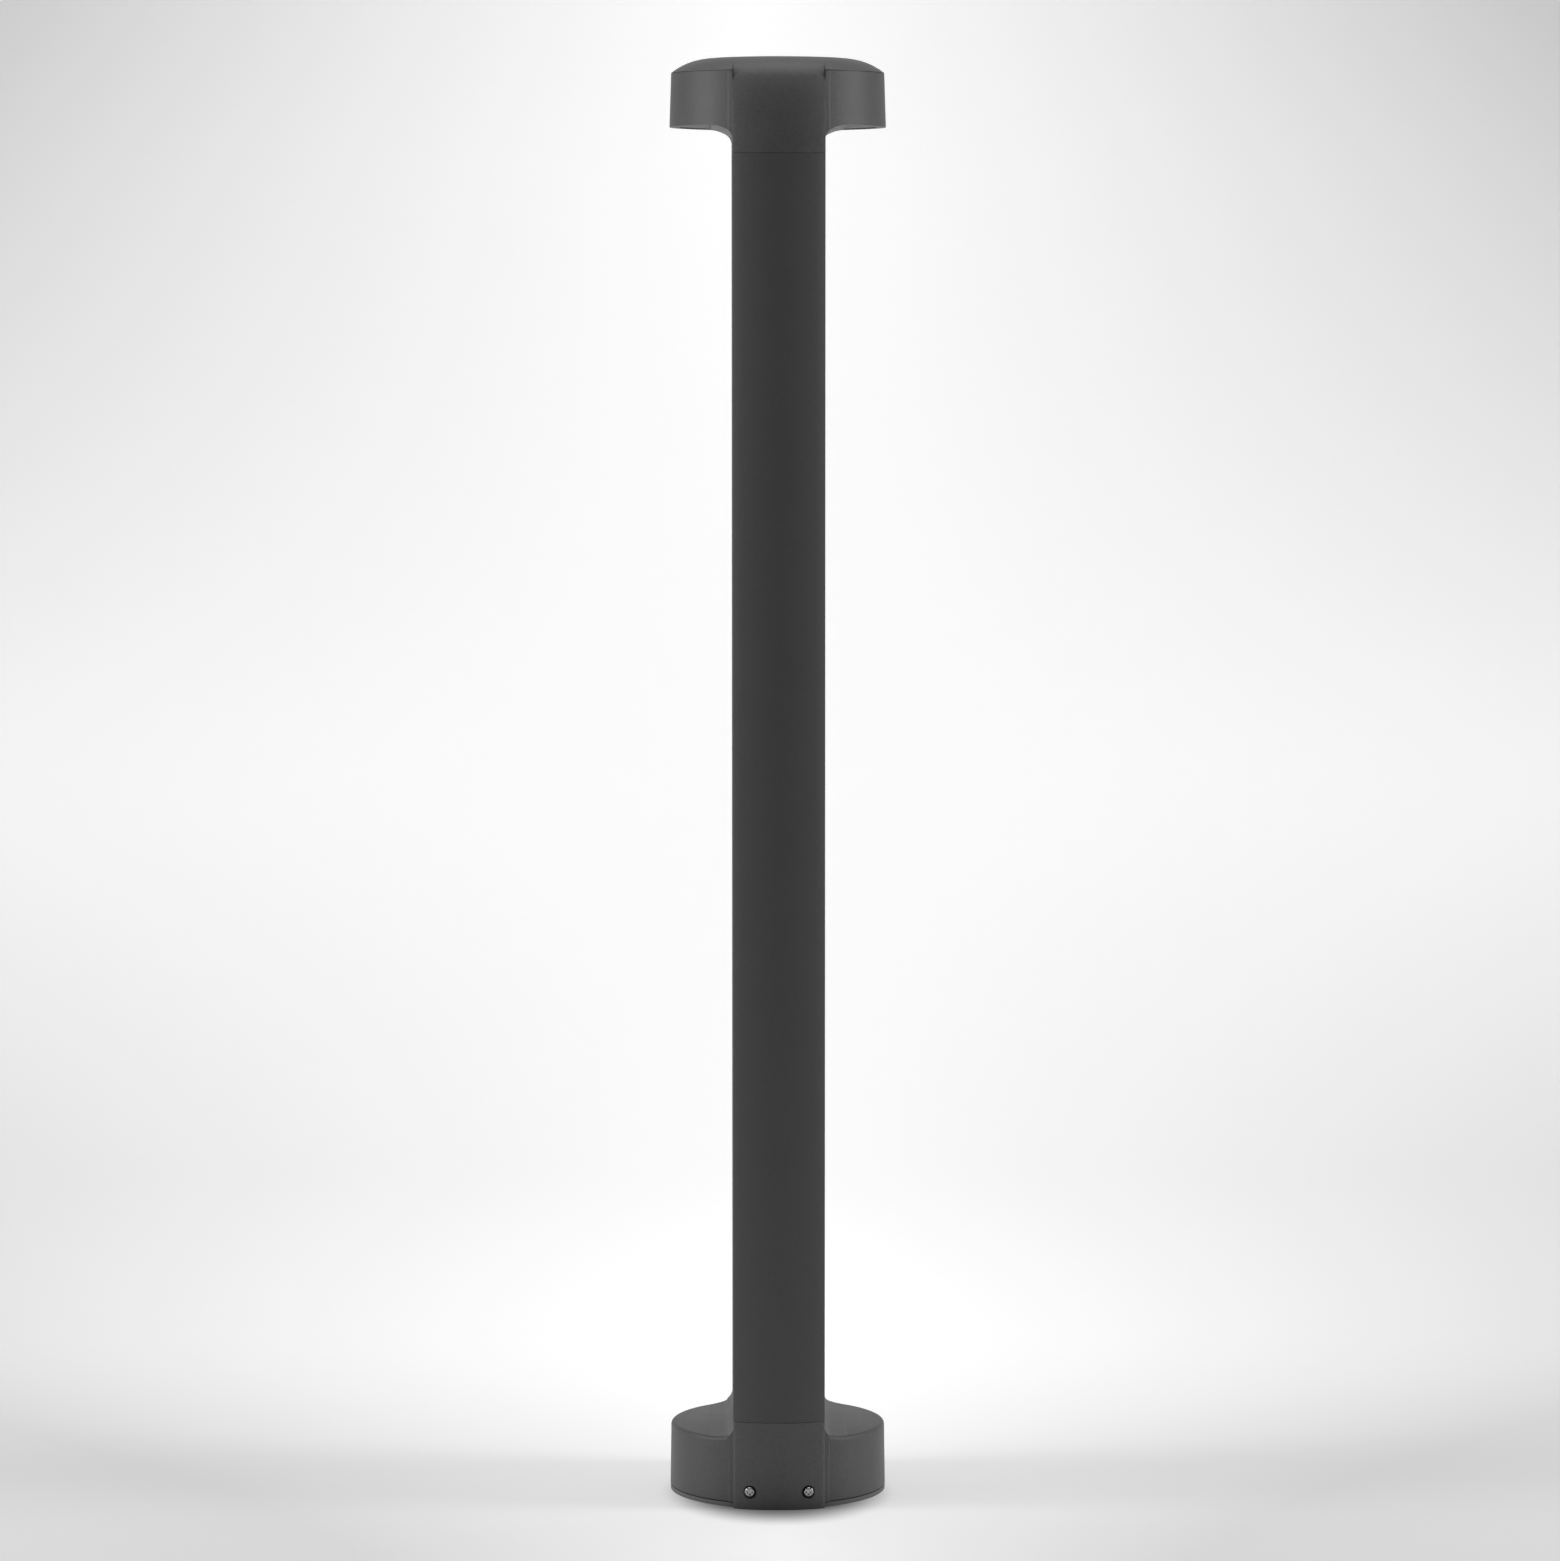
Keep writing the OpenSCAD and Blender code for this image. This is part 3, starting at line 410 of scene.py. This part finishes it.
def copied_solid(node):
    """A merged copy of a solid's mesh, with flat faces joined."""
    form = bmesh.new()
    form.from_mesh(frame["nodes"][node].data)
    bmesh.ops.remove_doubles(form, verts=form.verts, dist=WELD)
    bmesh.ops.dissolve_degenerate(form, dist=DEGENERATE, edges=form.edges)
    bmesh.ops.dissolve_limit(
        form, angle_limit=radians(FLAT_ANGLE), use_dissolve_boundaries=False,
        verts=form.verts, edges=form.edges,
    )
    return form


def sharp_edges(form, choose):
    """Sharp outward edges whose two ends pass choose."""
    return [
        edge
        for edge in form.edges
        if len(edge.link_faces) == 2
        and edge.is_convex
        and edge.calc_face_angle(0) > radians(SHARP_ANGLE)
        and all(choose(*end.co) for end in edge.verts)
    ]


def ease(form, edges, width, segments):
    bmesh.ops.bevel(
        form, geom=edges, offset=width, offset_type="OFFSET", affect="EDGES", segments=segments, profile=0.5,
        clamp_overlap=True, material=-1, loop_slide=True, miter_outer="SHARP", miter_inner="SHARP",
    )


def finished(form, name, node, material):
    """The form as a piece that stands for its solid, smooth over its curves and sharp at its edges."""
    for face in form.faces:
        face.smooth = True
    for edge in form.edges:
        edge.smooth = not (len(edge.link_faces) == 2 and edge.calc_face_angle(0) > radians(HARD_ANGLE))
    mesh = bpy.data.meshes.new(name)
    form.to_mesh(mesh)
    form.free()
    mesh.materials.append(material)
    piece = bpy.data.objects.new(name, mesh)
    bpy.context.scene.collection.objects.link(piece)
    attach(piece, "root")
    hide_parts(node)


def near(a, b, room):
    return abs(a - b) < room


def upright(edges, least):
    """The edges that rise by more than least from one end to the other."""
    return [edge for edge in edges if abs(edge.verts[0].co.z - edge.verts[1].co.z) > least]


def on_post_corner(x, y, z):
    return near(abs(x), HALF_WIDTH, EDGE_ROOM) and abs(y) > POST_CORNER_DEPTH


def on_band_corner(x, y, z):
    return near(abs(x), HALF_WIDTH, EDGE_ROOM) and abs(y) > BAND_DEPTH


def on_rib_edge(x, y, z):
    return near(abs(x), HALF_WIDTH + RIB, EDGE_ROOM) and hypot(x, y) > RIB_RADIUS


def on_base_rim(x, y, z):
    inner, outer = BASE_RIM_RADII
    return z > BASE_WING_TOP - EDGE_ROOM and inner < hypot(x, y) < outer and abs(x) > BASE_RIM_ASIDE


def make_post():
    """Extruded post with its four long corners eased."""
    form = copied_solid("post_extrusion")
    corners = upright(sharp_edges(form, on_post_corner), POST_CORNER_LENGTH)
    ease(form, corners, POST_ROUND, POST_SEGMENTS)
    finished(form, "post", "post_extrusion", EXTRUSION)


def round_band_and_ribs(form, heights):
    """The band's corners and the ribs' outer edges, between two heights."""
    low, high = heights
    for choose, width in ((on_band_corner, BAND_ROUND), (on_rib_edge, RIB_ROUND)):
        edges = sharp_edges(form, lambda x, y, z: choose(x, y, z) and low < z < high)
        ease(form, upright(edges, BAND_EDGE_LENGTH), width, BAND_SEGMENTS)


def make_base():
    """Base casting: rounded wing rims, band corners and ribs."""
    form = copied_solid("base_housing")
    ease(form, sharp_edges(form, on_base_rim), BASE_RIM_ROUND, BASE_RIM_SEGMENTS)
    round_band_and_ribs(form, BASE_BAND_HEIGHTS)
    finished(form, "base_casting", "base_housing", CASTING)


def make_head():
    """Head casting: rounded band corners and ribs."""
    form = copied_solid("head_housing")
    round_band_and_ribs(form, HEAD_BAND_HEIGHTS)
    finished(form, "head_casting", "head_housing", CASTING)


def from_screw(point):
    """A point's offset across its own ground screw, as X and Z."""
    low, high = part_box("ground_screws")
    return abs(point.x) - (high.x - SCREW_R), point.z - (low.z + high.z) / 2


def widen_recess(form, seat):
    """Cross recess of each head brought to its full width."""
    for vert in form.verts:
        across, up = from_screw(vert.co)
        if abs(vert.co.y) < seat + 0.1 * MM or hypot(across, up) > RECESS_REACH:
            continue
        if near(abs(across), RECESS_NARROW, RECESS_ROOM):
            wider = abs(vert.co.x) + copysign(RECESS_WIDE - RECESS_NARROW, across)
            vert.co.x *= wider / abs(vert.co.x)
        if near(abs(up), RECESS_NARROW, RECESS_ROOM):
            vert.co.z += copysign(RECESS_WIDE - RECESS_NARROW, up)


def make_screws():
    """Ground screws whose heads have rounded rims and a wide cross recess."""
    form = copied_solid("ground_screws")
    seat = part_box("ground_screws")[1].y - SCREW_HEAD
    widen_recess(form, seat)

    def on_head_rim(x, y, z):
        return abs(y) > seat + 0.5 * MM and hypot(*from_screw(Vector((x, y, z)))) > SCREW_RIM_REACH

    rims = [
        edge
        for edge in sharp_edges(form, on_head_rim)
        if near(edge.verts[0].co.y, edge.verts[1].co.y, SCREW_RIM_ROOM)
    ]
    ease(form, rims, SCREW_RIM_ROUND, SCREW_RIM_SEGMENTS)
    finished(form, "ground_screw_set", "ground_screws", MATERIALS["screw_steel"])


finish_nodes()
make_post()
make_base()
make_head()
make_screws()


# Studio

CAMERA_PLACE = (-0.05045, -3.889, 0.8308)
CAMERA_AIM = (0.0016, 0.0, 0.4995)
CAMERA_LENS, CAMERA_SENSOR, CAMERA_CLIP = 129.0, 36.0, 60.0

FLOOR_HALF_WIDTH, FLOOR_FRONT = 5, -4
SWEEP_START, SWEEP_RADIUS, SWEEP_STEPS, WALL_RISE = 1.4, 1.0, 24, 3

PAPER_WHITE, PAPER_GLOW, PAPER_ROUGHNESS = 0.8, 0.5, 0.9

# Painted shade: the paper greys by where it lies in the view, standing in for light that falls off towards
# the corners:
# the eye's distance and height, how steeply the view's middle runs down, and how fast and how far the grey
# comes in
PAPER_REACH, EYE_HEIGHT, VIEW_SLOPE = 3.9, 0.83, 0.085
NEAREST, SLOPE_SOFTNESS = 0.5, 0.0002
CORNER_GAIN, CORNER_SHADE = 51.0, 0.61

# Painted shade greys it along Y too, more and more from behind the light to in front of it
GREY_FROM, GREY_TO, GREY_SHARE = 0.6, -0.3, 0.45

# Contact shadow: an ellipse about the foot, dark inside and gone at its edge
FOOT_SCALE, FOOT_SHIFT = (12.3, 9.1, 1.0), (0, 0.18, 0)
FOOT_DARK, FOOT_CLEAR, FOOT_SHADE = 0.5, 1.04, (0.3, 0.3, 0.3)

# Name: place, aim, size and power
SOFTBOXES = {
    "left_side": ((-2.2, -0.25, 1.15), (0, 0, 0.7), (0.6, 1.8), 26.0),
    "right_side": ((2.2, -0.25, 1.15), (0, 0, 0.7), (0.6, 1.8), 28.0),
    "left_front": ((-2.1, -0.9, 1.5), (0, 0, 0.97), (0.5, 0.9), 7.0),
    "right_front": ((2.1, -0.9, 1.5), (0, 0, 0.97), (0.5, 0.9), 3.0),
    "overhead": ((0, -0.15, 2.8), (0, 0, 0), (2.4, 2.2), 38.0),
}
AIR = 0.001


def paper_material():
    """White paper, lit and glowing, greyed by painted shade towards the corners of the view and darkened by
    a painted contact shadow where it meets the light's foot.
    """
    material, tree, shader, place = new_material("studio_paper")
    axis = add(tree, "ShaderNodeSeparateXYZ", Vector=place).outputs
    depth = maths(tree, "MAXIMUM", maths(tree, "ADD", axis["Y"], PAPER_REACH), NEAREST)
    aside = maths(tree, "ABSOLUTE", maths(tree, "DIVIDE", axis["X"], depth))
    above = maths(tree, "DIVIDE", maths(tree, "SUBTRACT", axis["Z"], EYE_HEIGHT), depth)
    above = maths(tree, "ADD", above, VIEW_SLOPE)
    above = maths(tree, "SQRT", maths(tree, "MULTIPLY_ADD", above, above, SLOPE_SOFTNESS))
    # Painted shade towards the corners of the view
    corner = maths(tree, "MULTIPLY", maths(tree, "MULTIPLY", aside, above), CORNER_GAIN, clamp=True)
    # Painted shade that greys the floor towards the front
    near_edge = ramped(tree, axis["Y"], GREY_FROM, GREY_TO, 0.0, GREY_SHARE)
    corner = maths(tree, "ADD", corner, near_edge, clamp=True)
    grey = coloured([PAPER_WHITE * CORNER_SHADE] * 3)
    shade = mixed(tree, corner, coloured([PAPER_WHITE] * 3), grey)
    foot = add(
        tree, "ShaderNodeVectorMath", {"operation": "MULTIPLY_ADD"}, i0=place, i1=FOOT_SCALE, i2=FOOT_SHIFT
    )
    foot = add(tree, "ShaderNodeVectorMath", {"operation": "LENGTH"}, i0=foot.outputs[0])
    # Painted contact shadow: dark inside the ellipse about the foot, clear at its edge
    lit = ramped(tree, foot.outputs["Value"], FOOT_DARK, FOOT_CLEAR)
    base = grouped(
        tree, MOTTLE, Vector=place, Colour=shade, Cloud=0.01, Speck=0.01, Roughness=PAPER_ROUGHNESS
    )
    # The painted contact shadow darkens both the paper's colour and its glow
    shadow = mixed(tree, lit, coloured(FOOT_SHADE), coloured((1, 1, 1)))
    toned = mixed(tree, 1.0, base["Colour"], shadow, "MULTIPLY")
    tree.links.new(toned, shader.inputs["Base Color"])
    tree.links.new(toned, shader.inputs["Emission Color"])
    tree.links.new(maths(tree, "MULTIPLY", lit, PAPER_GLOW), shader.inputs["Emission Strength"])
    shader.inputs["Roughness"].default_value = PAPER_ROUGHNESS
    shader.inputs["Specular IOR Level"].default_value = 0.0
    return material


def make_floor():
    """Pale floor that sweeps up into a backdrop."""
    form = bmesh.new()
    front = form.verts.new((-FLOOR_HALF_WIDTH, FLOOR_FRONT, 0))
    back = form.verts.new((-FLOOR_HALF_WIDTH, SWEEP_START, 0))
    form.edges.new((front, back))
    middle = (0, SWEEP_START, SWEEP_RADIUS)
    bmesh.ops.spin(form, geom=[back], cent=middle, axis=(1, 0, 0), angle=radians(90), steps=SWEEP_STEPS)
    top = max(form.verts, key=lambda v: v.co.z + v.co.y)
    wall = bmesh.ops.extrude_vert_indiv(form, verts=[top])["verts"]
    bmesh.ops.translate(form, verts=wall, vec=(0, 0, WALL_RISE))
    sheet = bmesh.ops.extrude_edge_only(form, edges=form.edges[:])["geom"]
    far_side = [v for v in sheet if isinstance(v, bmesh.types.BMVert)]
    bmesh.ops.translate(form, verts=far_side, vec=(2 * FLOOR_HALF_WIDTH, 0, 0))
    bmesh.ops.recalc_face_normals(form, faces=form.faces)
    for face in form.faces:
        face.smooth = True
    mesh = bpy.data.meshes.new("studio_floor")
    form.to_mesh(mesh)
    form.free()
    mesh.materials.append(paper_material())
    floor = bpy.data.objects.new("studio_floor", mesh)
    bpy.context.scene.collection.objects.link(floor)


def put(name, data, place, aim):
    """A light or camera in the scene, turned to what it aims at."""
    thing = bpy.data.objects.new(name, data)
    thing.location = place
    thing.rotation_euler = (Vector(aim) - Vector(place)).to_track_quat("-Z", "Y").to_euler()
    bpy.context.scene.collection.objects.link(thing)
    return thing


def softbox(name, place, aim, size, power):
    data = bpy.data.lights.new(name, "AREA")
    data.shape = "RECTANGLE"
    data.size, data.size_y = size
    data.energy = power
    put(name, data, place, aim)


def make_studio():
    make_floor()
    for name, (place, aim, size, power) in SOFTBOXES.items():
        softbox(name, place, aim, size, power)
    world = bpy.data.worlds.new("studio_air")
    world.use_nodes = True
    air = world.node_tree.nodes["Background"].inputs
    air["Color"].default_value = (1, 1, 1, 1)
    air["Strength"].default_value = AIR
    bpy.context.scene.world = world
    bpy.context.scene.view_settings.view_transform = "Standard"


def make_camera():
    """Camera at the photograph's place, level with the light's upper part and aimed at its middle."""
    data = bpy.data.cameras.new("camera")
    data.lens = CAMERA_LENS
    data.sensor_width = CAMERA_SENSOR
    data.clip_end = CAMERA_CLIP
    bpy.context.scene.camera = put("camera", data, CAMERA_PLACE, CAMERA_AIM)


make_studio()
make_camera()
